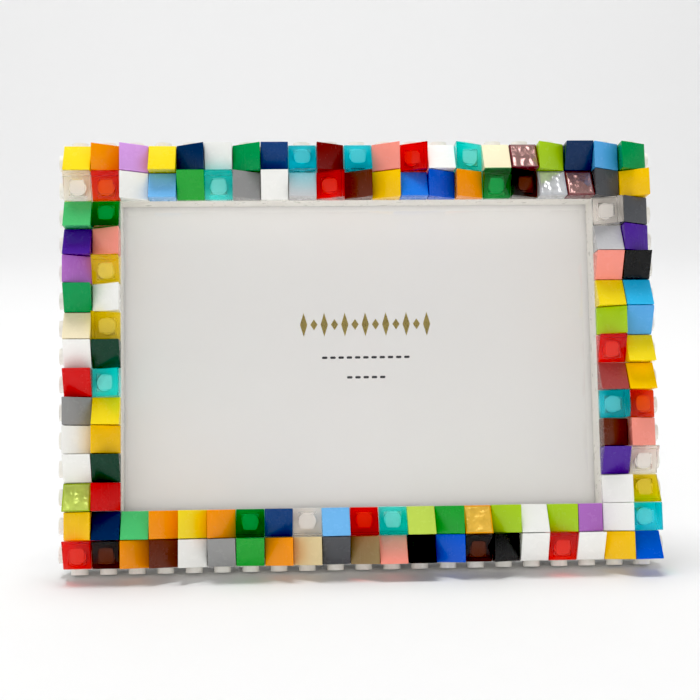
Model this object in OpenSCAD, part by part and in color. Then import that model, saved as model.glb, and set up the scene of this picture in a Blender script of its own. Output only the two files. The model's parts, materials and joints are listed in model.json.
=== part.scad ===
// Brick-built photo frame for a 4 by 6 inch print.
// A white studded frame carries 128 small slope bricks round a recessed window,
// and an easel leg at the back lets it lean on a table.
// Panel frame: x across, y up the panel, z out of its front; y 0 is the bottom edge, z 0 the stud face.

/* [Brick grid] */
// Spacing of the studs, which sets the outline of the whole frame
pitch = 8; // [7.9:0.05:8.1]
// Diameter of a stud
stud_d = 4.8; // [4.6:0.1:4.9]
// Height of a stud
stud_h = 1.7; // [1.6:0.1:1.9]

/* [Slope bricks] */
// Gap between neighbouring slope bricks
slope_gap = 0.2; // [0.1:0.05:0.3]
// Height of the low edge of a slope brick
lip_h = 1.6; // [1.5:0.1:2]
// Height of the high edge of a slope brick
high_h = 6.4; // [6:0.1:6.6]
// Thickness of plastic over the hollow under a slope brick
roof_t = 1; // [0.8:0.1:1.2]

/* [Front moulding] */
// Depth of the studded frame behind its stud face
front_depth = 8; // [8:0.1:9.6]
// Thickness of its face
face_t = 1.6; // [1.2:0.1:2]
// Thickness of its outer and inner walls
wall_t = 1.5; // [1.2:0.1:1.6]
// Thickness of the ribs inside it
rib_t = 1; // [0.8:0.1:1.2]

/* [Print and backing] */
// Width of the print
print_w = 152.4; // [150:0.1:152.4]
// Height of the print
print_h = 101.6; // [100:0.1:101.6]
// Room round the print and the parts that hold it
pocket_gap = 0.6; // [0.4:0.1:0.8]
// Thickness of the clear window
pane_t = 0.8; // [0.6:0.1:1]
// Thickness of the card behind the window
card_t = 0.3; // [0.2:0.05:0.5]
// Thickness of the back board
board_t = 2; // [1.8:0.1:2.5]
// How far the rear frame stays inside the outline
rear_inset = 1; // [0.8:0.1:1.5]

/* [Easel] */
// Angle at which the frame leans back
lean = 15; // [12:1:16]
// Angle between the back board and the open leg
leg_open = 27; // [25:1:28]
// Height of the leg's hinge up the panel
pivot_up = 84; // [80:1:88]
// Distance of the leg's hinge behind the back board
pivot_out = 3.7; // [3.6:0.05:3.9]
// Thickness of the leg
leg_t = 2.4; // [2.2:0.1:2.6]
// Width of the leg at its hinge
leg_top_w = 30; // [26:1:32]
// Width of the leg at its foot
leg_foot_w = 24; // [20:1:26]
// Thickness of the sheet steel of the hinge bracket
sheet_t = 0.8; // [0.6:0.1:1]

/* [Hardware] */
// Diameter of the hinge pin
pin_d = 2; // [1.8:0.1:2.2]
// Gap all round a turning shaft in its hole
running_gap = 0.05; // [0.03:0.01:0.08]
// Length of a turn button from its screw to its tip
button_reach = 10; // [9:0.5:11]
// Width of a turn button
button_w = 6; // [5:0.5:6]
// Thickness of a turn button
button_t = 1; // [0.8:0.1:1.2]

/* [Hidden] */
$fn = 48;

// Colour of each slope brick, row by row from the top left; a dot is the window opening.
colour_rows = [
    "YOVYNWEn5D5S1W6CxLNME",
    "02WmF6GWg1rybBO47zxdy",
    "f4.................0d",
    "PS.................gP",
    "v3.................Sk",
    "EW.................YA",
    "C3.................LM",
    "WK.................1Y",
    "R6.................qy",
    "GY.................52",
    "Wy.................rS",
    "WK.................P0",
    "aR.................W3",
    "yNfOYO4n0m16lFoLWLvW5",
    "17OrWGFOTdtSkB7kW1WyB"
];

// Side on which each brick's high edge lies: U up, D down, L left, R right.
high_side_rows = [
    "DLLDRURUDLDRRDLDDLULL",
    "UULDUULUDRRRDLLULDDLR",
    "DD.................RL",
    "DR.................DL",
    "LU.................UU",
    "UR.................DD",
    "DL.................RU",
    "UU.................UD",
    "UR.................DD",
    "LD.................RL",
    "LL.................LL",
    "UU.................UU",
    "DL.................RD",
    "RDDLLLDUDDDDDRDRDRLRR",
    "UULLLUURRURDDRULUUURD"
];

// Width of the studded border, in studs, as the rows above leave it.
border_studs = 2;
columns = len(colour_rows[0]);
rows = len(colour_rows);
frame_w = columns * pitch;
frame_h = rows * pitch;
border = border_studs * pitch;
opening_w = frame_w - 2 * border;
opening_h = frame_h - 2 * border;
stud_r = stud_d / 2;
slope_w = pitch - slope_gap;
// A brick's hollow is a little wider and deeper than the stud inside it, with a narrower recess above.
hollow_r = stud_r + 0.05;
hollow_h = stud_h + 0.1;
recess_half = stud_r - 0.4;
recess_round = 0.7;

pocket_w = print_w + 2 * pocket_gap;
pocket_h = print_h + 2 * pocket_gap;
backing_w = print_w + pocket_gap;
backing_h = print_h + pocket_gap;
card_z = -front_depth - pane_t;
board_z = card_z - card_t;
board_back = board_z - board_t;
rear_t = pane_t + card_t + board_t + 0.1;
rear_back = -front_depth - rear_t;

// Screws stand on the middle line of the rear frame's bars.
bar_x = (frame_w / 2 - rear_inset + pocket_w / 2) / 2;
bar_y = (frame_h / 2 - rear_inset + pocket_h / 2) / 2;
frame_screw_spots = [
    for (side = [-1, 1], x = [-76, -32, 32, 76]) [x, frame_h / 2 + side * bar_y],
    for (side = [-1, 1], y = [-32, 32]) [side * bar_x, frame_h / 2 + y]
];
boss_r = 2.2;
pilot_r = 1;
screw_shank_r = 0.95;
screw_hole_r = 1.2;
screw_head_r = 2;
screw_head_t = 1.2;
screw_length = 8;
hanging_hole_r = 2;

// Turn buttons: four, two on the top bar and two on the bottom bar.
button_x = 52;
button_lift = 0.15;
shoulder_r = 1.4;
shoulder_t = button_t + button_lift + 0.1;
button_head_r = 2.6;
button_head_t = 1;

// Lean: the lowest points of the side studs and the round foot of the leg meet the table.
pivot_z = board_back - pivot_out;
panel_lift = stud_h * cos(lean) + (front_depth / 2 + stud_r) * sin(lean);
pivot_height = pivot_up * cos(lean) + pivot_z * sin(lean) + panel_lift;
pivot_depth = pivot_up * sin(lean) - pivot_z * cos(lean);
leg_back_angle = leg_open - lean;
leg_length = (pivot_height - leg_t / 2) / cos(leg_back_angle);
deepest_back = pivot_depth + leg_length * sin(leg_back_angle) + leg_t / 2;
deepest_front = slope_gap / 2 * sin(lean) - high_h * cos(lean);
depth_centre = (deepest_front + deepest_back) / 2;

// The heel above the hinge meets the bracket when the leg is open, which is the leg's stop.
stop_gap = 0.06;
plate_gap = pivot_out - sheet_t;
heel = (plate_gap - stop_gap - leg_t / 2 * cos(leg_open)) / sin(leg_open);
knuckle_r = 2.2;
leg_rim = 3;
leg_recess = 0.8;
ear_gap = 0.3;
ear_t = 1;
ear_r = 2.4;
ear_x = leg_top_w / 2 + ear_gap;
bracket_w = 2 * (ear_x + ear_t + 6.5);
bracket_h = 16;
rivet_x = ear_x + ear_t + 3.6;
rivet_y = 4.5;
rivet_head_r = 1.9;
rivet_head_t = 0.7;
rivet_r = 1.1;
pin_head_r = 1.6;
pin_head_t = 0.6;

// Puts the panel frame in its place on the table, with the origin under the middle of the whole.
module stand() {
    translate([0, -depth_centre, panel_lift]) rotate([90 - lean, 0, 0]) children();
}

// A box centred on x, from y low to y high and from z low to z high.
module slab(width, y_low, y_high, z_low, z_high) {
    translate([-width / 2, y_low, z_low]) cube([width, y_high - y_low, z_high - z_low]);
}

// A box of the panel's middle, of that width and height.
module panel_box(width, height, z_low, z_high) {
    slab(width, (frame_h - height) / 2, (frame_h + height) / 2, z_low, z_high);
}

// ---- Studded frame ----

module front_studs() {
    for (row = [0:rows - 1], column = [0:columns - 1]) {
        if (colour_rows[row][column] != ".") {
            translate([(column + 0.5) * pitch - frame_w / 2, (rows - row - 0.5) * pitch, -0.2])
                cylinder(r = stud_r, h = stud_h + 0.2);
        }
    }
}

// A line of studs on one outer side, along x from the origin, pointing to -y.
module side_stud_row(count) {
    for (i = [0:count - 1]) {
        translate([(i + 0.5 - count / 2) * pitch, 0.2, -front_depth / 2])
            rotate([90, 0, 0]) cylinder(r = stud_r, h = stud_h + 0.2);
    }
}

module side_studs() {
    side_stud_row(columns);
    translate([0, frame_h, 0]) mirror([0, 1, 0]) side_stud_row(columns);
    translate([-frame_w / 2, frame_h / 2, 0]) rotate([0, 0, -90]) side_stud_row(rows);
    translate([frame_w / 2, frame_h / 2, 0]) rotate([0, 0, 90]) side_stud_row(rows);
}

module frame_ribs() {
    for (x = [-72:16:72]) {
        translate([x - rib_t / 2, 0, -front_depth]) cube([rib_t, frame_h, front_depth]);
    }
    for (y = [-40:16:40]) {
        translate([-frame_w / 2, frame_h / 2 + y - rib_t / 2, -front_depth]) cube([frame_w, rib_t, front_depth]);
    }
}

module frame_channel() {
    difference() {
        panel_box(frame_w - 2 * wall_t, frame_h - 2 * wall_t, -front_depth - 1, -face_t);
        panel_box(opening_w + 2 * wall_t, opening_h + 2 * wall_t, -front_depth - 2, 0);
        frame_ribs();
        for (spot = frame_screw_spots) {
            translate([spot[0], spot[1], -front_depth]) cylinder(r = boss_r, h = front_depth);
        }
    }
}

module studded_frame() {
    color("#F2F0EC") stand() {
        difference() {
            panel_box(frame_w, frame_h, -front_depth, 0);
            panel_box(opening_w, opening_h, -front_depth - 1, 1);
            frame_channel();
            for (spot = frame_screw_spots) {
                translate([spot[0], spot[1], -front_depth - 1]) cylinder(r = pilot_r, h = front_depth - face_t);
            }
        }
        front_studs();
        side_studs();
    }
}

// ---- Rear frame, window, card and board ----

module rear_frame() {
    color("#EDEBE7") stand() difference() {
        panel_box(frame_w - 2 * rear_inset, frame_h - 2 * rear_inset, rear_back, -front_depth);
        panel_box(pocket_w, pocket_h, rear_back - 1, -front_depth + 1);
        for (spot = frame_screw_spots) {
            translate([spot[0], spot[1], rear_back - 1]) cylinder(r = screw_hole_r, h = rear_t + 2);
        }
        for (x = [-button_x, button_x], side = [-1, 1]) {
            translate([x, frame_h / 2 + side * bar_y, rear_back - 1]) cylinder(r = pilot_r, h = rear_t + 2);
        }
        translate([0, frame_h / 2 + bar_y, rear_back - 1]) cylinder(r = hanging_hole_r, h = rear_t + 2);
    }
}

// A pan-head screw whose head stands on z 0 and points to -z, with a cross recess.
module pan_screw(head_r, head_t, shank_r, length) {
    difference() {
        union() {
            translate([0, 0, -head_t]) cylinder(r = head_r, h = head_t);
            cylinder(r = shank_r, h = length);
        }
        for (turn = [0, 90]) {
            rotate([0, 0, turn]) translate([-head_r * 0.6, -0.25, -head_t - 0.1]) cube([head_r * 1.2, 0.5, 0.7]);
        }
    }
}

module frame_screws() {
    color("silver") stand() {
        for (spot = frame_screw_spots) {
            translate([spot[0], spot[1], rear_back])
                pan_screw(screw_head_r, screw_head_t, screw_shank_r, screw_length);
        }
    }
}

module window_pane() {
    color([0.9, 0.95, 1, 0.3]) stand() panel_box(backing_w, backing_h, card_z, -front_depth);
}

module photo_card() {
    color("#F6F5F2") stand() panel_box(print_w, print_h, board_z, card_z);
}

module back_board() {
    color("#2B2B2D") stand() difference() {
        panel_box(backing_w, backing_h, board_back, board_z);
        for (x = [-rivet_x, rivet_x], y = [-rivet_y, rivet_y]) {
            translate([x, pivot_up + y, board_back - 1]) cylinder(r = rivet_r, h = board_t + 2);
        }
    }
}

// ---- Easel: bracket, rivets, pin and leg ----

// One ear of the bracket: a round end on the hinge's axis, on a foot that joins the plate.
module ear() {
    rotate([90, 0, 90]) linear_extrude(ear_t) difference() {
        union() {
            circle(r = ear_r);
            translate([-ear_r, 0]) square([2 * ear_r, pivot_out]);
        }
        circle(r = pin_d / 2 + 0.02);
    }
}

module hinge_bracket() {
    color("silver") stand() translate([0, pivot_up, pivot_z]) difference() {
        union() {
            slab(bracket_w, -bracket_h / 2, bracket_h / 2, plate_gap, pivot_out);
            translate([ear_x, 0, 0]) ear();
            translate([-ear_x - ear_t, 0, 0]) ear();
        }
        for (x = [-rivet_x, rivet_x], y = [-rivet_y, rivet_y]) {
            translate([x, y, plate_gap - 1]) cylinder(r = rivet_r, h = sheet_t + 2);
        }
    }
}

module bracket_rivets() {
    color("gainsboro") stand() {
        for (x = [-rivet_x, rivet_x], y = [-rivet_y, rivet_y]) {
            translate([x, pivot_up + y, board_back - sheet_t]) {
                translate([0, 0, -rivet_head_t]) cylinder(r = rivet_head_r, h = rivet_head_t);
                cylinder(r = rivet_r, h = sheet_t + board_t);
            }
        }
    }
}

module hinge_pin() {
    color("dimgray") stand() translate([0, pivot_up, pivot_z]) rotate([0, 90, 0]) {
        cylinder(r = pin_d / 2, h = 2 * (ear_x + ear_t + pin_head_t), center = true);
        for (side = [-1, 1]) {
            translate([0, 0, side * (ear_x + ear_t + pin_head_t / 2)])
                cylinder(r = pin_head_r, h = pin_head_t, center = true);
        }
    }
}

// A tapered outline, symmetrical about x 0, from its top edge down to its foot.
module taper(top_half, top_y, foot_half, foot_y) {
    polygon([[-top_half, top_y], [top_half, top_y], [foot_half, foot_y], [-foot_half, foot_y]]);
}

// The leg hangs from the hinge along -y and is leg_t thick about z 0, with a shallow panel in its back.
module easel_leg() {
    color("#2B2B2D") stand() translate([0, pivot_up, pivot_z]) rotate([leg_open, 0, 0]) difference() {
        union() {
            slab(leg_top_w, -knuckle_r, heel, -leg_t / 2, leg_t / 2);
            translate([0, 0, -leg_t / 2]) linear_extrude(leg_t)
                taper(leg_top_w / 2, -knuckle_r, leg_foot_w / 2, -leg_length);
            rotate([0, 90, 0]) cylinder(r = knuckle_r, h = leg_top_w, center = true);
            translate([0, -leg_length, 0]) rotate([0, 90, 0])
                cylinder(r = leg_t / 2, h = leg_foot_w, center = true);
        }
        rotate([0, 90, 0]) cylinder(r = pin_d / 2 + running_gap, h = leg_top_w + 2, center = true);
        translate([0, 0, -leg_t / 2 - 1]) linear_extrude(leg_recess + 1)
            taper(leg_top_w / 2 - leg_rim, -3 * knuckle_r, leg_foot_w / 2 - leg_rim, leg_rim - leg_length);
    }
}

// ---- Turn buttons ----

module button_screws() {
    color("silver") stand() {
        for (x = [-button_x, button_x], side = [-1, 1]) {
            translate([x, frame_h / 2 + side * bar_y, rear_back]) {
                translate([0, 0, -shoulder_t]) cylinder(r = shoulder_r, h = shoulder_t);
                translate([0, 0, -shoulder_t]) pan_screw(button_head_r, button_head_t, screw_shank_r, 3 + shoulder_t);
            }
        }
    }
}

// A flat round-ended arm that turns on its screw and reaches over the back board.
module turn_button(x, side) {
    tip = button_reach - button_w / 2;
    color("gainsboro") stand() translate([x, frame_h / 2 + side * bar_y, rear_back - button_lift - button_t])
        rotate([0, 0, side * -90]) difference() {
            union() {
                cylinder(r = button_w / 2, h = button_t);
                translate([0, -button_w / 2, 0]) cube([tip, button_w, button_t]);
                translate([tip, 0, 0]) cylinder(r = button_w / 2, h = button_t);
                translate([tip, 0, -0.4]) cylinder(r = 1.5, h = 0.5);
            }
            translate([0, 0, -1]) cylinder(r = shoulder_r + running_gap, h = button_t + 2);
        }
}

module turn_button_top_left() { turn_button(-button_x, 1); }
module turn_button_top_right() { turn_button(button_x, 1); }
module turn_button_bottom_left() { turn_button(-button_x, -1); }
module turn_button_bottom_right() { turn_button(button_x, -1); }

// ---- Slope bricks ----

// Outline of a brick's hollow: straight towards the low edge, round towards the high edge.
module hollow_outline() {
    circle(r = hollow_r);
    translate([-hollow_r, -hollow_r]) square([2 * hollow_r, hollow_r]);
}

// The narrower recess above it: a square with round corners.
module recess_outline() {
    corner = recess_half - recess_round;
    translate([-recess_half, -corner]) square([2 * recess_half, 2 * corner]);
    translate([-corner, -recess_half]) square([2 * corner, 2 * recess_half]);
    for (x = [-corner, corner], y = [-corner, corner]) {
        translate([x, y]) circle(r = recess_round);
    }
}

// A wedge of the brick's side profile, lowered by drop, that spans its whole width.
module wedge(drop, bottom) {
    half = slope_w / 2;
    rotate([90, 0, 90]) translate([0, 0, -half]) linear_extrude(slope_w)
        polygon([[-half, bottom], [half, bottom], [half, high_h - drop], [-half, lip_h - drop]]);
}

// One slope brick with its high edge towards +y, hollow below for the stud.
module slope_brick() {
    difference() {
        wedge(0, 0);
        translate([0, 0, -1]) linear_extrude(hollow_h + 1) hollow_outline();
        intersection() {
            translate([0, 0, -1]) linear_extrude(high_h) recess_outline();
            wedge(roof_t, -1);
        }
    }
}

function side_turn(side) = side == "U" ? 0 : side == "L" ? 90 : side == "D" ? 180 : 270;

// Every slope brick of one colour.
module slopes(key) {
    stand() {
        for (row = [0:rows - 1], column = [0:columns - 1]) {
            if (colour_rows[row][column] == key) {
                translate([(column + 0.5) * pitch - frame_w / 2, (rows - row - 0.5) * pitch, 0])
                    rotate([0, 0, side_turn(high_side_rows[row][column])]) slope_brick();
            }
        }
    }
}

module yellow_slopes() { color("#FFE43C") slopes("Y"); }
module golden_yellow_slopes() { color("#FACD1E") slopes("y"); }
module orange_slopes() { color("#FF9619") slopes("O"); }
module lavender_slopes() { color("#E19BF0") slopes("V"); }
module orchid_slopes() { color("#B46EC8") slopes("v"); }
module navy_slopes() { color("#14265A") slopes("N"); }
module dark_blue_slopes() { color("#1C3E78") slopes("n"); }
module white_slopes() { color("#F5F3EE") slopes("W"); }
module green_slopes() { color("#0F8C48") slopes("E"); }
module bright_green_slopes() { color("#2D9B3A") slopes("F"); }
module mint_green_slopes() { color("#46BE5F") slopes("f"); }
module dark_green_slopes() { color("#1E3B2C") slopes("K"); }
module dark_red_slopes() { color("#7D1414") slopes("D"); }
module red_slopes() { color("#C81419") slopes("R"); }
module salmon_slopes() { color("#FA8C7D") slopes("S"); }
module cream_slopes() { color("#FAF0BE") slopes("C"); }
module tan_slopes() { color("#E1CD8C") slopes("T"); }
module dark_tan_slopes() { color("#8C734B") slopes("t"); }
module lime_slopes() { color("#A5C026") slopes("L"); }
module light_lime_slopes() { color("#BED746") slopes("l"); }
module medium_blue_slopes() { color("#62A5DA") slopes("M"); }
module sky_blue_slopes() { color("#7DB9FA") slopes("m"); }
module azure_slopes() { color("#32AAEB") slopes("A"); }
module royal_blue_slopes() { color("#145ABE") slopes("B"); }
module bright_blue_slopes() { color("#2D78DC") slopes("b"); }
module grey_slopes() { color("#8A8A8C") slopes("G"); }
module pale_grey_slopes() { color("#CDD2DC") slopes("g"); }
module dark_grey_slopes() { color("#4E5054") slopes("d"); }
module black_slopes() { color("#1C1C1C") slopes("k"); }
module brown_slopes() { color("#5F2319") slopes("r"); }
module purple_slopes() { color("#462D8C") slopes("P"); }
module dark_rose_slopes() { color("#9B323C") slopes("q"); }
module clear_slopes() { color([0.95, 0.93, 0.93, 0.5]) slopes("0"); }
module clear_red_slopes() { color([0.9, 0.05, 0.05, 0.7]) slopes("1"); }
module clear_orange_slopes() { color([1, 0.3, 0.02, 0.7]) slopes("2"); }
module clear_yellow_slopes() { color([0.95, 0.8, 0.15, 0.7]) slopes("3"); }
module clear_green_slopes() { color([0.02, 0.45, 0.15, 0.7]) slopes("4"); }
module clear_blue_slopes() { color([0.05, 0.68, 0.83, 0.7]) slopes("5"); }
module clear_turquoise_slopes() { color([0.05, 0.75, 0.68, 0.7]) slopes("6"); }
module clear_brown_slopes() { color([0.25, 0.1, 0.06, 0.8]) slopes("7"); }
module mirror_rose_slopes() { color("#C8A0A0") slopes("x"); }
module mirror_silver_slopes() { color("#D2D4D8") slopes("z"); }
module metallic_lime_slopes() { color("#BED25A") slopes("a"); }
module metallic_orange_slopes() { color("#FFBE50") slopes("o"); }

studded_frame();
rear_frame();
frame_screws();
window_pane();
photo_card();
back_board();
hinge_bracket();
bracket_rivets();
hinge_pin();
easel_leg();
button_screws();
turn_button_top_left();
turn_button_top_right();
turn_button_bottom_left();
turn_button_bottom_right();
yellow_slopes();
golden_yellow_slopes();
orange_slopes();
lavender_slopes();
orchid_slopes();
navy_slopes();
dark_blue_slopes();
white_slopes();
green_slopes();
bright_green_slopes();
mint_green_slopes();
dark_green_slopes();
dark_red_slopes();
red_slopes();
salmon_slopes();
cream_slopes();
tan_slopes();
dark_tan_slopes();
lime_slopes();
light_lime_slopes();
medium_blue_slopes();
sky_blue_slopes();
azure_slopes();
royal_blue_slopes();
bright_blue_slopes();
grey_slopes();
pale_grey_slopes();
dark_grey_slopes();
black_slopes();
brown_slopes();
purple_slopes();
dark_rose_slopes();
clear_slopes();
clear_red_slopes();
clear_orange_slopes();
clear_yellow_slopes();
clear_green_slopes();
clear_blue_slopes();
clear_turquoise_slopes();
clear_brown_slopes();
mirror_rose_slopes();
mirror_silver_slopes();
metallic_lime_slopes();
metallic_orange_slopes();
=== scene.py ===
"""Looks of a brick-built photo frame: coloured slope bricks on a white studded frame with an easel leg.

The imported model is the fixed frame. Slope bricks, the card and the foil films are built here as meshes
in the panel's own frame: x across, y up the panel and z out of its front, from the bottom left corner of
the stud face.
"""

import json
import math
import random

import bmesh
import bpy
from mathutils import Matrix, Vector, noise


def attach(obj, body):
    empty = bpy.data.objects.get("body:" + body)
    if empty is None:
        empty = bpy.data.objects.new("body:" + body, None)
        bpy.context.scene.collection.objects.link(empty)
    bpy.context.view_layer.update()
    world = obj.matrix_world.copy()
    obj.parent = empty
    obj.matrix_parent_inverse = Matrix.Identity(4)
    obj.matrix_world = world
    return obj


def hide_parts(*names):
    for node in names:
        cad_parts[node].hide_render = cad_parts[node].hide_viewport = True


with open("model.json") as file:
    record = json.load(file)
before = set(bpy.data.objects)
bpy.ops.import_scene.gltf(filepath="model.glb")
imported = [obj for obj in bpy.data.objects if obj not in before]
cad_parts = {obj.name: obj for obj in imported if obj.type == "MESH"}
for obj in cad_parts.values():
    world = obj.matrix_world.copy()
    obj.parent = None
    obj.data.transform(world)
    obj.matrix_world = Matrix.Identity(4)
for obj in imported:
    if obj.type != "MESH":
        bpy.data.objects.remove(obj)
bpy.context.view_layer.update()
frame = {"nodes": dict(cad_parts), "record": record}

# ---- Sizes in millimetres, in the panel's frame ----

MM = 0.001
PITCH = 8.0
FRONT_DEPTH = 8.0

# A slope brick: HIGH_H is its high edge as it stands, a little under the CAD's to leave room for LOOSE_LIFT.
BRICK_W = 7.8
LIP_H = 1.6
HIGH_H = 6.33
ROOF_T = 1.0
HOLLOW_R = 2.45
HOLLOW_H = 1.8
RECESS_HALF = 2.0
RECESS_ROUND = 0.7
EDGE_R = 0.17

# On the CAD pieces: edges that bend more than this are shaded crisp, flatter ones are joined on drilled
# plates, and sharper ones are rounded.
CRISP_ANGLE = math.radians(12)
FLAT_ANGLE = math.radians(0.5)
BEVEL_ANGLE = math.radians(30)
WELD_REACH = 0.002

# How unevenly the bricks are pressed on: shift, lift and turn of each.
LOOSE_SHIFT = 0.035
LOOSE_LIFT = 0.05
LOOSE_TURN = math.radians(0.5)

FILM_INSET = 0.35
FILM_T = 0.04
FILM_CELLS = 26

CARD_W = 152.4
CARD_H = 101.6
CARD_T = 0.25
CARD_BACK = -9.1
CARD_CORNER = 0.6

# The ornament on the card: a band of lozenges, and dashed rules as (dashes, height up the panel).
PRINT_T = 0.03
PRINT_SHIFT = 2
BAND_UP = 69
LOZENGE_STEP = 3
LOZENGE_W = 2.1
LOZENGE_HEIGHTS = (7.0, 3.2)
LOZENGES = 13
RULES = ((11, 59.3), (5, 53.5))
DASH_STEP = 2.4
DASH = (1.6, 0.7, 0.3)

# The camera, from the panel's bottom left corner.
CAMERA_SPOT = Vector((57.2, 16.8, 425.8))
CAMERA_AIM = Vector((80.93, 60.62, 0))
CAMERA_UP = Vector((0.0115, 0.9946, 0.103))
LENS = 77.17

# Studio light: the sky's strength at two heights and its shares in gloss and behind the object, and the
# softboxes' power; the sparkle lights only the foils.
SKY_HEIGHTS = (0.05, 0.55)
SKY_STRENGTHS = (1.34, 0.3)
SKY_IN_GLOSS = 0.6
SKY_BEHIND = 0.48
OVERHEAD_POWER = 16
FRONT_POWER = 2.5
SPARKLE_POWER = 1.3
BLACK_LEVEL = 0.02

# ---- The panel's frame, from the mounts ----

mounts = {m["name"]: m for m in frame["record"]["mounts"]}
across = Vector(mounts["right_stud"]["axis"])
upward = Vector(mounts["top_stud"]["axis"])
outward = -Vector(mounts["hanging_hole"]["axis"])
half_stud = mounts["top_stud"]["dims"]["length_mm"] * MM / 2
corner = (
    across * (Vector(mounts["left_stud"]["pos_m"]).dot(across) + half_stud)
    + upward * (Vector(mounts["bottom_stud"]["pos_m"]).dot(upward) + half_stud)
    + outward * (Vector(mounts["bottom_stud"]["pos_m"]).dot(outward) + FRONT_DEPTH / 2 * MM)
)
PANEL = Matrix.Translation(corner) @ Matrix((across, upward, outward)).transposed().to_4x4()
TO_PANEL = PANEL.inverted()


def mount_gap(one, other):
    """Millimetres between the panel's outer faces under two opposite studs."""
    apart = (Vector(mounts[one]["pos_m"]) - Vector(mounts[other]["pos_m"])).length
    return apart / MM - 2 * half_stud / MM


PANEL_W = mount_gap("right_stud", "left_stud")
PANEL_H = mount_gap("top_stud", "bottom_stud")

# ---- Colours ----

# Opaque slope bricks: CAD node and colour.
PLASTICS = {
    "yellow": "FFE431", "golden_yellow": "FFCB1F", "orange": "FF9A1C", "lavender": "E2A6F2",
    "orchid": "BA74CE", "navy": "17335C", "dark_blue": "10407E", "white": "FAFAF6", "green": "0B9A52",
    "bright_green": "2BAA3C", "mint_green": "55C878", "dark_green": "17402E", "dark_red": "7E1F1C",
    "red": "D81414", "salmon": "FF9A8A", "cream": "FFF2CE", "tan": "E6D2A0", "dark_tan": "9A8258",
    "lime": "AED62E", "light_lime": "C6E05E", "medium_blue": "5CAEEC", "sky_blue": "78BEF6",
    "azure": "3EC0F4", "royal_blue": "1E5ED8", "bright_blue": "2F7EEA", "grey": "9A9A9A",
    "pale_grey": "C8C8CA", "dark_grey": "56585C", "black": "1A1A1A", "brown": "6A3222",
    "purple": "55309E", "dark_rose": "A8504E",
}

# Transparent slope bricks: surface tint, and the share of each colour that 1 mm of plastic lets through.
CLEARS = {
    "clear": ("FFFCFA", (0.999, 0.998, 0.997)),
    "clear_red": ("FF8074", (0.998, 0.66, 0.62)),
    "clear_orange": ("FF8C20", (0.999, 0.82, 0.36)),
    "clear_yellow": ("FFEC98", (0.999, 0.995, 0.76)),
    "clear_green": ("58D88E", (0.40, 0.89, 0.78)),
    "clear_blue": ("B4F4FF", (0.66, 0.985, 0.998)),
    "clear_turquoise": ("D0FBF8", (0.66, 0.992, 0.992)),
    "clear_brown": ("B47448", (0.66, 0.56, 0.50)),
}

# Foil-faced slope bricks: colour of the body, colour of the foil and how metallic the foil is.
FOILS = {
    "mirror_rose": ("6E3038", "DAABA7", 0.75),
    "mirror_silver": ("C4C6CA", "ECEDF0", 0.45),
    "metallic_lime": ("A8C02C", "DAEE72", 0.25),
    "metallic_orange": ("F0A020", "FFCC58", 0.25),
}


def linear(code):
    """The linear RGBA of an sRGB hex colour."""
    parts = [int(code[i:i + 2], 16) / 255 for i in (0, 2, 4)]
    return tuple(c / 12.92 if c <= 0.04045 else ((c + 0.055) / 1.055) ** 2.4 for c in parts) + (1.0,)


# ---- Materials ----


def new_material(name):
    """A material with its node tree and its Principled shader."""
    material = bpy.data.materials.new(name)
    material.use_nodes = True
    tree = material.node_tree
    return material, tree, tree.nodes["Principled BSDF"]


def add(tree, kind, links=None, **settings):
    """A node whose settings and input values are given by name, and its inputs' links by index or name."""
    made = tree.nodes.new("ShaderNode" + kind)
    for name, value in settings.items():
        setattr(made, name, value)
    for name, source in (links or {}).items():
        if isinstance(source, bpy.types.NodeSocket):
            tree.links.new(source, made.inputs[name])
        else:
            made.inputs[name].default_value = source
    return made


def noise_at(tree, coords, scale, detail=3.0, roughness=0.5, stretch=(1, 1, 1), turn=0.0):
    """A noise value around 0.5, of features about 1/scale metres wide, stretched and turned if asked."""
    rotation = (0.3 * turn, 0.2 * turn, turn)
    place = add(tree, "Mapping", {"Vector": coords, "Rotation": rotation, "Scale": stretch})
    links = {"Vector": place.outputs[0], "Scale": scale, "Detail": detail, "Roughness": roughness}
    return add(tree, "TexNoise", links).outputs[0]


def remap(tree, value, low, high, to_low, to_high):
    """value carried from low..high to to_low..to_high, and held inside it."""
    return add(tree, "MapRange", {0: value, 1: low, 2: high, 3: to_low, 4: to_high}).outputs[0]


def maths(tree, operation, a, b):
    return add(tree, "Math", {0: a, 1: b}, operation=operation).outputs[0]


def bump_chain(tree, shader, layers):
    """Bump nodes one after another: each layer is a height, its depth in metres and its strength."""
    normal = None
    for height, depth, strength in layers:
        links = {"Height": height, "Distance": depth, "Strength": strength}
        if normal is not None:
            links["Normal"] = normal
        normal = add(tree, "Bump", links).outputs[0]
    tree.links.new(normal, shader.inputs["Normal"])


def hairlines(tree, coords, turn, width=0.012):
    """Fine scratches: thin bands of a long stretched noise."""
    streaks = noise_at(tree, coords, 900, 2, 0.5, (1, 0.03, 1), turn)
    offset = maths(tree, "ABSOLUTE", maths(tree, "SUBTRACT", streaks, 0.5), 0)
    patchy = noise_at(tree, coords, 140, 2, 0.5)
    line = remap(tree, offset, 0, width, 1, 0)
    return maths(tree, "MULTIPLY", line, remap(tree, patchy, 0.48, 0.62, 0, 1))


def pass_soft_light(tree, shader, colour):
    """Lets lamps and soft bounced light straight through a clear surface, tinted a little."""
    path = tree.nodes.new("ShaderNodeLightPath")
    soft = maths(tree, "MAXIMUM", path.outputs["Is Shadow Ray"], path.outputs["Is Diffuse Ray"])
    passing = add(tree, "BsdfTransparent", {"Color": colour})
    mixed = add(tree, "MixShader", {0: soft, 1: shader.outputs[0], 2: passing.outputs[0]})
    tree.links.new(mixed.outputs[0], tree.nodes["Material Output"].inputs["Surface"])


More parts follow.
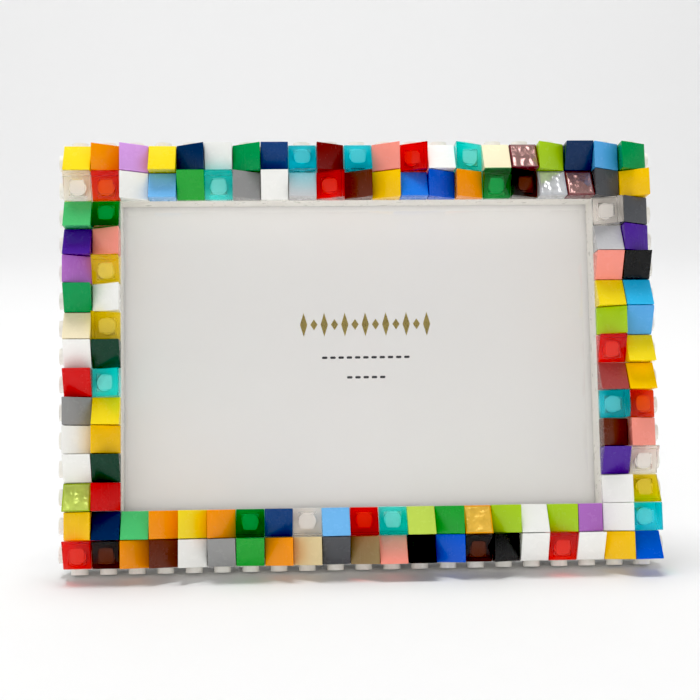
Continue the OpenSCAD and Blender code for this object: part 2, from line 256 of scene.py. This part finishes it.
def moulded_plastic(name, code, roughness=0.24, specular=0.35, tone=0.03, wave=1.0, wear=1.0):
    """Glossy moulded ABS: each brick a shade off its neighbours, faint flow marks, hairlines and a ripple."""
    material, tree, shader = new_material(name)
    coords = add(tree, "TexCoord").outputs["Object"]
    cell = add(tree, "VectorMath", {0: coords, 1: (PITCH * MM, PITCH * MM, 1)}, operation="DIVIDE").outputs[0]
    cell = add(tree, "VectorMath", {0: cell}, operation="FLOOR").outputs[0]
    shade = add(tree, "TexWhiteNoise", {"Vector": cell}, noise_dimensions="3D").outputs["Value"]
    flow = noise_at(tree, coords, 180, 3, 0.55, (1, 0.6, 1), 0.6)
    value = maths(tree, "ADD", remap(tree, shade, 0, 1, 1 - tone, 1 + tone),
                  remap(tree, flow, 0.3, 0.7, -0.015, 0.015))
    colour = add(tree, "HueSaturation", {"Value": value, "Color": linear(code)})
    tree.links.new(colour.outputs[0], shader.inputs["Base Color"])
    smear = noise_at(tree, coords, 420, 4, 0.6)
    scratch = hairlines(tree, coords, 0.9)
    gloss = maths(tree, "ADD", remap(tree, smear, 0.3, 0.7, roughness - 0.05, roughness + 0.07),
                  maths(tree, "MULTIPLY", scratch, 0.12))
    tree.links.new(gloss, shader.inputs["Roughness"])
    shader.inputs["Specular IOR Level"].default_value = specular
    shader.inputs["IOR"].default_value = 1.53
    bump_chain(tree, shader, [
        (noise_at(tree, coords, 260, 2, 0.4), 0.00004 * wave, 0.5),
        (noise_at(tree, coords, 5200, 2, 0.5), 0.000004, 0.5),
        (scratch, -0.000006, 0.6 * wear),
    ])
    return material


def clear_plastic(name, code, through):
    """Transparent polycarbonate: it darkens with depth, and has a faint ripple and fine scratches."""
    material, tree, shader = new_material(name)
    coords = add(tree, "TexCoord").outputs["Object"]
    shader.inputs["Base Color"].default_value = linear(code)
    shader.inputs["Transmission Weight"].default_value = 1.0
    shader.inputs["IOR"].default_value = 1.45
    smear = noise_at(tree, coords, 500, 4, 0.6)
    tree.links.new(remap(tree, smear, 0.35, 0.7, 0.03, 0.1), shader.inputs["Roughness"])
    bump_chain(tree, shader, [
        (noise_at(tree, coords, 240, 2, 0.4), 0.00004, 0.4),
        (hairlines(tree, coords, 2.2), -0.000006, 0.4),
    ])
    depth = [-math.log(share) / MM for share in through]
    density = max(depth) * 1.05
    inside = tree.nodes.new("ShaderNodeVolumeAbsorption")
    inside.inputs["Color"].default_value = tuple(1 - d / density for d in depth) + (1.0,)
    inside.inputs["Density"].default_value = density
    tree.links.new(inside.outputs[0], tree.nodes["Material Output"].inputs["Volume"])
    pass_soft_light(tree, shader, tuple(c ** 0.25 for c in linear(code)))
    return material


def foil(name, code, metallic):
    """Crinkled metal film."""
    material, tree, shader = new_material(name)
    coords = add(tree, "TexCoord").outputs["Object"]
    tint = noise_at(tree, coords, 350, 3, 0.6)
    value = remap(tree, tint, 0.3, 0.7, 0.85, 1.1)
    colour = add(tree, "HueSaturation", {"Value": value, "Color": linear(code)})
    tree.links.new(colour.outputs[0], shader.inputs["Base Color"])
    shader.inputs["Metallic"].default_value = metallic
    smear = noise_at(tree, coords, 800, 3, 0.6)
    tree.links.new(remap(tree, smear, 0.3, 0.7, 0.1, 0.2), shader.inputs["Roughness"])
    bump_chain(tree, shader, [(noise_at(tree, coords, 500, 2, 0.5), 0.00012, 0.35)])
    return material


def acrylic():
    """The window: clear sheet that lets lamps through, with fine wipe marks."""
    material, tree, shader = new_material("window_acrylic")
    coords = add(tree, "TexCoord").outputs["Object"]
    shader.inputs["Base Color"].default_value = (1, 1, 1, 1)
    shader.inputs["Transmission Weight"].default_value = 1.0
    shader.inputs["IOR"].default_value = 1.49
    wipes = noise_at(tree, coords, 60, 4, 0.65, (1, 0.2, 1), 0.5)
    tree.links.new(remap(tree, wipes, 0.45, 0.75, 0.0, 0.04), shader.inputs["Roughness"])
    bump_chain(tree, shader, [(noise_at(tree, coords, 30, 1, 0.4), 0.00002, 0.3)])
    pass_soft_light(tree, shader, (0.99, 0.99, 0.99, 1))
    return material


def paper(name, code, roughness=0.6, fibre=0.00002, speckle=0.02):
    """Coated card or paper-covered board: fine fibres and a faint mottle."""
    material, tree, shader = new_material(name)
    coords = add(tree, "TexCoord").outputs["Object"]
    mottle = noise_at(tree, coords, 90, 4, 0.6)
    fleck = noise_at(tree, coords, 2600, 3, 0.6, (1, 0.35, 1), 0.4)
    value = maths(tree, "ADD", remap(tree, mottle, 0.3, 0.7, 1 - speckle / 2, 1 + speckle / 2),
                  remap(tree, fleck, 0.35, 0.7, -speckle, speckle))
    colour = add(tree, "HueSaturation", {"Value": value, "Color": linear(code)})
    tree.links.new(colour.outputs[0], shader.inputs["Base Color"])
    gloss = remap(tree, fleck, 0.3, 0.7, roughness - 0.08, roughness + 0.08)
    tree.links.new(gloss, shader.inputs["Roughness"])
    shader.inputs["Specular IOR Level"].default_value = 0.3
    bump_chain(tree, shader, [(fleck, fibre, 0.5), (mottle, fibre * 3, 0.3)])
    return material


def metal(name, code, roughness=0.3, stretch=(1, 0.04, 1)):
    """Bright metal with a brushed or tumbled finish."""
    material, tree, shader = new_material(name)
    coords = add(tree, "TexCoord").outputs["Object"]
    brush = noise_at(tree, coords, 3500, 3, 0.6, stretch, 0.2)
    stain = noise_at(tree, coords, 220, 4, 0.6)
    value = remap(tree, stain, 0.3, 0.7, 0.85, 1.08)
    colour = add(tree, "HueSaturation", {"Value": value, "Color": linear(code)})
    tree.links.new(colour.outputs[0], shader.inputs["Base Color"])
    shader.inputs["Metallic"].default_value = 1.0
    gloss = maths(tree, "ADD", remap(tree, brush, 0.3, 0.7, roughness - 0.08, roughness + 0.1),
                  remap(tree, stain, 0.4, 0.7, 0, 0.08))
    tree.links.new(gloss, shader.inputs["Roughness"])
    bump_chain(tree, shader, [(brush, 0.000008, 0.5)])
    return material


# ---- Meshes ----


def to_object(name, bm, material, smooth_angle=40):
    """A mesh object of a bmesh in millimetres, standing in the panel's frame."""
    mesh = bpy.data.meshes.new(name)
    bm.to_mesh(mesh)
    bm.free()
    mesh.transform(Matrix.Scale(MM, 4))
    mesh.shade_smooth()
    mesh.set_sharp_from_angle(angle=math.radians(smooth_angle))
    mesh.materials.append(material)
    made = bpy.data.objects.new(name, mesh)
    bpy.context.scene.collection.objects.link(made)
    made.matrix_world = PANEL
    return made


def hollow_outline():
    """The brick's hollow seen from below: straight towards the low edge, round towards the high edge."""
    arc = [math.pi * i / 20 for i in range(21)]
    around = [(HOLLOW_R * math.cos(a), HOLLOW_R * math.sin(a)) for a in arc]
    return [(HOLLOW_R, -HOLLOW_R)] + around + [(-HOLLOW_R, -HOLLOW_R)]


def recess_outline(outline):
    """The recess above the hollow: a square with round corners, and one point for each outline point."""
    corner = RECESS_HALF - RECESS_ROUND
    cut = []
    for x, y in outline:
        x, y = Vector((x, y)).normalized()
        reach = RECESS_HALF / max(abs(x), abs(y))
        if min(abs(x), abs(y)) * reach > corner:
            along = corner * (abs(x) + abs(y))
            reach = along + math.sqrt(along ** 2 - 2 * corner ** 2 + RECESS_ROUND ** 2)
        cut.append((x * reach, y * reach))
    return cut


def roof_height(y):
    """Height of the sloping face at y, from the low edge at -y to the high edge at +y."""
    return LIP_H + (HIGH_H - LIP_H) * (y / BRICK_W + 0.5)


def slope_brick():
    """One slope brick as a mesh: rounded edges outside and its hollow below."""
    half = BRICK_W / 2
    bm = bmesh.new()
    low = [bm.verts.new((x, y, 0)) for x, y in ((-half, -half), (half, -half), (half, half), (-half, half))]
    high = [bm.verts.new((v.co.x, v.co.y, roof_height(v.co.y))) for v in low]
    bm.faces.new(low[::-1])
    bm.faces.new(high)
    for i in range(4):
        j = (i + 1) % 4
        bm.faces.new((low[i], low[j], high[j], high[i]))
    bmesh.ops.bevel(bm, geom=bm.edges[:], offset=EDGE_R, offset_type="OFFSET", segments=3, profile=0.5,
                    affect="EDGES", clamp_overlap=True)
    bm.normal_update()
    bottom = max((f for f in bm.faces if f.normal.z < -0.99), key=lambda f: f.calc_area())
    rim = list(bottom.edges)
    bmesh.ops.delete(bm, geom=[bottom], context="FACES_ONLY")
    wide = hollow_outline()
    narrow = recess_outline(wide)
    rings = [
        [bm.verts.new((x, y, 0)) for x, y in wide],
        [bm.verts.new((x, y, HOLLOW_H)) for x, y in wide],
        [bm.verts.new((x, y, HOLLOW_H)) for x, y in narrow],
        [bm.verts.new((x, y, roof_height(y) - ROOF_T)) for x, y in narrow],
    ]
    count = len(wide)
    mouth_edges = [bm.edges.new((rings[0][i], rings[0][(i + 1) % count])) for i in range(count)]
    bmesh.ops.bridge_loops(bm, edges=rim + mouth_edges)
    for below, above in zip(rings, rings[1:]):
        for i in range(count):
            j = (i + 1) % count
            bm.faces.new((below[i], below[j], above[j], above[i]))
    bm.faces.new(rings[-1])
    bmesh.ops.recalc_face_normals(bm, faces=bm.faces[:])
    mesh = bpy.data.meshes.new("slope_brick")
    bm.to_mesh(mesh)
    bm.free()
    return mesh


def brick_places(node):
    """(column, row, quarter turns) of each brick of a CAD node: its stud, and where its high edge lies."""
    studs = {}
    for vertex in frame["nodes"][node].data.vertices:
        point = TO_PANEL @ vertex.co / MM
        studs.setdefault((int(point.x // PITCH), int(point.y // PITCH)), []).append(point)
    found = []
    for (column, row), points in sorted(studs.items()):
        top = max(p.z for p in points)
        edge = [p for p in points if p.z > top - 0.01]
        dx = sum(p.x for p in edge) / len(edge) - (column + 0.5) * PITCH
        dy = sum(p.y for p in edge) / len(edge) - (row + 0.5) * PITCH
        found.append((column, row, round(math.atan2(-dx, dy) / (math.pi / 2))))
    return found


def brick_matrices(node, chance):
    """Where each brick of a CAD node stands, pressed on a little unevenly."""
    made = []
    for column, row, turns in brick_places(node):
        shift = Vector((chance.uniform(-1, 1), chance.uniform(-1, 1), 0)) * LOOSE_SHIFT
        lift = chance.uniform(0, LOOSE_LIFT)
        spot = Vector(((column + 0.5) * PITCH, (row + 0.5) * PITCH, lift)) + shift
        angle = turns * math.pi / 2 + chance.uniform(-1, 1) * LOOSE_TURN
        made.append(Matrix.Translation(spot) @ Matrix.Rotation(angle, 4, "Z"))
    return made


def add_copy(bm, mesh, matrix):
    """Adds a copy of mesh, put in place by matrix, to bm."""
    start = len(bm.verts)
    bm.from_mesh(mesh)
    bm.verts.ensure_lookup_table()
    bmesh.ops.transform(bm, matrix=matrix, verts=bm.verts[start:])


def slope_set(colour, material, matrices):
    """All the slope bricks of one colour, in place of their CAD node."""
    bm = bmesh.new()
    for matrix in matrices:
        add_copy(bm, BRICK, matrix)
    made = to_object(colour + "_slope_bricks", bm, material)
    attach(made, "frame_body")
    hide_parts(colour + "_slopes")
    return made


def film_sheet(matrix, seed):
    """A crinkled film over a brick's sloping face, as points in a grid and their faces."""
    half = BRICK_W / 2 - FILM_INSET
    bm = bmesh.new()
    rows = []
    for i in range(FILM_CELLS + 1):
        row = []
        for j in range(FILM_CELLS + 1):
            x = (2 * j / FILM_CELLS - 1) * half
            y = (2 * i / FILM_CELLS - 1) * half
            edge = min(1.0, 4 * (1 - max(abs(x), abs(y)) / half) + 0.15)
            fold = noise.noise(Vector((x * 0.55, y * 0.4, seed)))
            crease = abs(noise.noise(Vector((x * 0.8 + 7, y * 0.8, seed + 3))))
            rise = 0.05 + edge * (0.16 * fold + 0.12 * crease)
            row.append(bm.verts.new((x, y, roof_height(y) + max(0.02, rise))))
        rows.append(row)
    for i in range(FILM_CELLS):
        for j in range(FILM_CELLS):
            bm.faces.new((rows[i][j], rows[i][j + 1], rows[i + 1][j + 1], rows[i + 1][j]))
    bmesh.ops.transform(bm, matrix=matrix, verts=bm.verts[:])
    mesh = bpy.data.meshes.new("film")
    bm.to_mesh(mesh)
    bm.free()
    return mesh


def foil_films(colour, code, metallic, matrices):
    """The films on all the bricks of one colour."""
    bm = bmesh.new()
    for seed, matrix in enumerate(matrices):
        add_copy(bm, film_sheet(matrix, seed * 11.3 + len(colour)), Matrix.Identity(4))
    made = to_object(colour + "_films", bm, foil(colour + "_foil", code, metallic), 80)
    sheet = made.modifiers.new("thickness", "SOLIDIFY")
    sheet.thickness = FILM_T * MM
    sheet.offset = -1
    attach(made, "frame_body")
    return made


def crisp_edges():
    """Geometry nodes that shade a mesh smooth over its curved faces and flat between its edges."""
    group = bpy.data.node_groups.new("crisp_edges", "GeometryNodeTree")
    for way in ("INPUT", "OUTPUT"):
        group.interface.new_socket("Geometry", in_out=way, socket_type="NodeSocketGeometry")
    start = group.nodes.new("NodeGroupInput")
    end = group.nodes.new("NodeGroupOutput")
    bend = group.nodes.new("GeometryNodeInputMeshEdgeAngle")
    sharper = group.nodes.new("FunctionNodeCompare")
    sharper.data_type = "FLOAT"
    sharper.operation = "GREATER_THAN"
    sharper.inputs[1].default_value = CRISP_ANGLE
    normals = group.nodes.new("GeometryNodeSetMeshNormal")
    normals.mode = "SHARPNESS"
    normals.inputs["Remove Custom"].default_value = True
    group.links.new(bend.outputs[0], sharper.inputs[0])
    group.links.new(sharper.outputs[0], normals.inputs["Edge Sharpness"])
    group.links.new(start.outputs[0], normals.inputs[0])
    group.links.new(normals.outputs[0], end.inputs[0])
    return group


def rounded_edges(node, material, width, plate=False):
    """Gives a CAD node its material, and rounds its sharp edges by modifiers.

    On a drilled plate the triangles of each flat face are joined first, so that the rounding can't fold them.
    """
    made = frame["nodes"][node]
    made.data.materials.clear()
    made.data.materials.append(material)
    weld = made.modifiers.new("weld", "WELD")
    weld.merge_threshold = WELD_REACH * MM
    if plate:
        flat = made.modifiers.new("flat", "DECIMATE")
        flat.decimate_type = "DISSOLVE"
        flat.angle_limit = FLAT_ANGLE
    bevel = made.modifiers.new("bevel", "BEVEL")
    bevel.width = width * MM
    bevel.segments = 2
    bevel.limit_method = "ANGLE"
    bevel.angle_limit = BEVEL_ANGLE
    made.modifiers.new("crisp", "NODES").node_group = CRISP
    return made


# ---- The card and its printed ornament ----


def flat_shape(bm, points, low, high):
    """A closed flat shape with that outline, from z low to z high."""
    base = [bm.verts.new((x, y, low)) for x, y in points]
    top = [bm.verts.new((x, y, high)) for x, y in points]
    bm.faces.new(base[::-1])
    bm.faces.new(top)
    for i in range(len(points)):
        j = (i + 1) % len(points)
        bm.faces.new((base[i], base[j], top[j], top[i]))


def rounded_rectangle(x, y, width, height, radius, steps=5):
    """Outline of a rectangle round x, y with round corners."""
    points = []
    for sx, sy, start in ((1, 1, 0), (-1, 1, 90), (-1, -1, 180), (1, -1, 270)):
        cx = x + sx * (width / 2 - radius)
        cy = y + sy * (height / 2 - radius)
        for i in range(steps + 1):
            a = math.radians(start + 90 * i / steps)
            points.append((cx + radius * math.cos(a), cy + radius * math.sin(a)))
    return points


def lozenge(x, y, width, height):
    return [(x + width / 2, y), (x, y + height / 2), (x - width / 2, y), (x, y - height / 2)]


def card():
    """The white card that fills the window until a print takes its place."""
    bm = bmesh.new()
    outline = rounded_rectangle(PANEL_W / 2, PANEL_H / 2, CARD_W, CARD_H, CARD_CORNER)
    flat_shape(bm, outline, CARD_BACK, CARD_BACK + CARD_T)
    made = to_object("photo_card_sheet", bm, paper("card_stock", "F8F6F3", 0.55, 0.000006, 0.008))
    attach(made, "frame_body")
    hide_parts("photo_card")


def card_prints():
    """A band of gold lozenges over two short dashed rules, hot-stamped on the card."""
    top = CARD_BACK + CARD_T
    middle = PANEL_W / 2 + PRINT_SHIFT
    gold = bmesh.new()
    for i in range(LOZENGES):
        x = middle + (i - LOZENGES // 2) * LOZENGE_STEP
        flat_shape(gold, lozenge(x, BAND_UP, LOZENGE_W, LOZENGE_HEIGHTS[i % 2]), top, top + PRINT_T)
    made = to_object("card_gold_band", gold, metal("gold_foil", "D8C070", 0.28, (1, 0.4, 1)))
    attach(made, "frame_body")
    dark = bmesh.new()
    for count, y in RULES:
        for i in range(count):
            x = middle + (i - (count - 1) / 2) * DASH_STEP
            flat_shape(dark, rounded_rectangle(x, y, *DASH, 3), top, top + PRINT_T)
    made = to_object("card_dark_rules", dark, paper("card_ink", "3A3A3C", 0.5, 0.000004, 0.03))
    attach(made, "frame_body")


# ---- The object ----

BRICK = slope_brick()
CRISP = crisp_edges()
chance = random.Random(7)
for colour, code in PLASTICS.items():
    plastic = moulded_plastic(colour + "_plastic", code)
    slope_set(colour, plastic, brick_matrices(colour + "_slopes", chance))
for colour, (code, through) in CLEARS.items():
    plastic = clear_plastic(colour + "_plastic", code, through)
    slope_set(colour, plastic, brick_matrices(colour + "_slopes", chance))
films = []
for colour, (body_code, film_code, metallic) in FOILS.items():
    spots = brick_matrices(colour + "_slopes", chance)
    slope_set(colour, moulded_plastic(colour + "_plastic", body_code), spots)
    films.append(foil_films(colour, film_code, metallic, spots))

white_plastic = moulded_plastic("frame_plastic", "F6F3EC", 0.3, tone=0.0, wave=0.05, wear=0.2)
rear_plastic = moulded_plastic("rear_plastic", "EDEBE7", 0.4, tone=0.0)
steel = metal("zinc_steel", "C6C8CA")
dark_steel = metal("pin_steel", "9A9C9E", 0.22)
board_cover = paper("board_cover", "2B2B2D", 0.75, 0.00003, 0.12)
leg_plastic = moulded_plastic("leg_plastic", "38383B", 0.42, 0.5, tone=0.0)
button_plastic = moulded_plastic("button_plastic", "D9D9D6", 0.35, tone=0.0)

rounded_edges("studded_frame", white_plastic, 0.18)
rounded_edges("rear_frame", rear_plastic, 0.25, True)
rounded_edges("back_board", board_cover, 0.15, True)
rounded_edges("easel_leg", leg_plastic, 0.2)
rounded_edges("hinge_bracket", steel, 0.12, True)
rounded_edges("hinge_pin", dark_steel, 0.12)
rounded_edges("window_pane", acrylic(), 0.1)
for name in ("frame_screws", "button_screws", "bracket_rivets"):
    rounded_edges(name, steel, 0.15)
for name in ("top_left", "top_right", "bottom_left", "bottom_right"):
    rounded_edges("turn_button_" + name, button_plastic, 0.2)
card()
card_prints()

# ---- Floor, light and camera ----


def sweep():
    """A pale floor that curves up into a backdrop."""
    radius, back, height, front, half = 0.7, 0.9, 3.0, -1.3, 3.0
    profile = [(front, 0)]
    profile += [(back + radius * math.sin(a), radius * (1 - math.cos(a)))
                for a in (math.pi / 2 * i / 24 for i in range(25))]
    profile.append((back + radius, height))
    bm = bmesh.new()
    sides = [[bm.verts.new((x, y, z)) for y, z in profile] for x in (-half, half)]
    for i in range(len(profile) - 1):
        bm.faces.new((sides[0][i], sides[1][i], sides[1][i + 1], sides[0][i + 1]))
    mesh = bpy.data.meshes.new("sweep")
    bm.to_mesh(mesh)
    bm.free()
    mesh.shade_smooth()
    mesh.materials.append(paper("sweep_paper", "F2F2F2", 0.8, 0.00001, 0.004))
    made = bpy.data.objects.new("sweep", mesh)
    bpy.context.scene.collection.objects.link(made)


def softbox(name, spot, aim, width, height, power, glossy=False):
    """A soft area light at spot that points at aim; it shows in gloss only if asked."""
    light = bpy.data.lights.new(name, "AREA")
    light.shape = "RECTANGLE"
    light.size = width
    light.size_y = height
    light.energy = power
    made = bpy.data.objects.new(name, light)
    bpy.context.scene.collection.objects.link(made)
    made.location = spot
    made.rotation_euler = (Vector(aim) - Vector(spot)).to_track_quat("-Z", "Y").to_euler()
    made.visible_glossy = glossy
    made.visible_transmission = glossy
    return made


def studio():
    sweep()
    world = bpy.data.worlds.new("studio")
    bpy.context.scene.world = world
    world.use_nodes = True
    tree = world.node_tree
    coords = add(tree, "TexCoord").outputs["Generated"]
    height = add(tree, "SeparateXYZ", {0: coords}).outputs["Z"]
    background = tree.nodes["Background"]
    background.inputs["Color"].default_value = (1, 1, 1, 1)
    strength = remap(tree, height, *SKY_HEIGHTS, *SKY_STRENGTHS)
    path = tree.nodes.new("ShaderNodeLightPath").outputs
    for ray, share in (("Is Glossy Ray", SKY_IN_GLOSS), ("Is Camera Ray", SKY_BEHIND)):
        strength = maths(tree, "MULTIPLY", strength, remap(tree, path[ray], 0, 1, 1, share))
    tree.links.new(strength, background.inputs["Strength"])
    softbox("overhead", (-0.1, 0.25, 1.5), (0, 0, 0), 0.7, 0.5, OVERHEAD_POWER)
    softbox("front", (-0.3, -1.4, 0.8), (0, 0, 0.06), 1.2, 0.8, FRONT_POWER)
    sparkle = softbox("sparkle", (0, -0.1, 1.5), (0, 0, 0), 0.45, 0.3, SPARKLE_POWER, True)
    sparkle.light_linking.receiver_collection = bpy.data.collections.new("films")
    for film in films:
        sparkle.light_linking.receiver_collection.objects.link(film)


def camera():
    """The camera at the spot from which the frame was photographed."""
    data = bpy.data.cameras.new("camera")
    data.lens = LENS
    data.sensor_width = 36
    data.clip_start = 0.01
    made = bpy.data.objects.new("camera", data)
    bpy.context.scene.collection.objects.link(made)
    back = (CAMERA_SPOT - CAMERA_AIM).normalized()
    right = CAMERA_UP.cross(back).normalized()
    turn = Matrix((right, back.cross(right), back)).transposed().to_4x4()
    made.matrix_world = PANEL @ Matrix.Translation(CAMERA_SPOT * MM) @ turn
    bpy.context.scene.camera = made


studio()
camera()
view = bpy.context.scene.view_settings
view.view_transform = "Standard"
view.use_curve_mapping = True
view.curve_mapping.black_level = (BLACK_LEVEL, BLACK_LEVEL, BLACK_LEVEL)
view.curve_mapping.update()
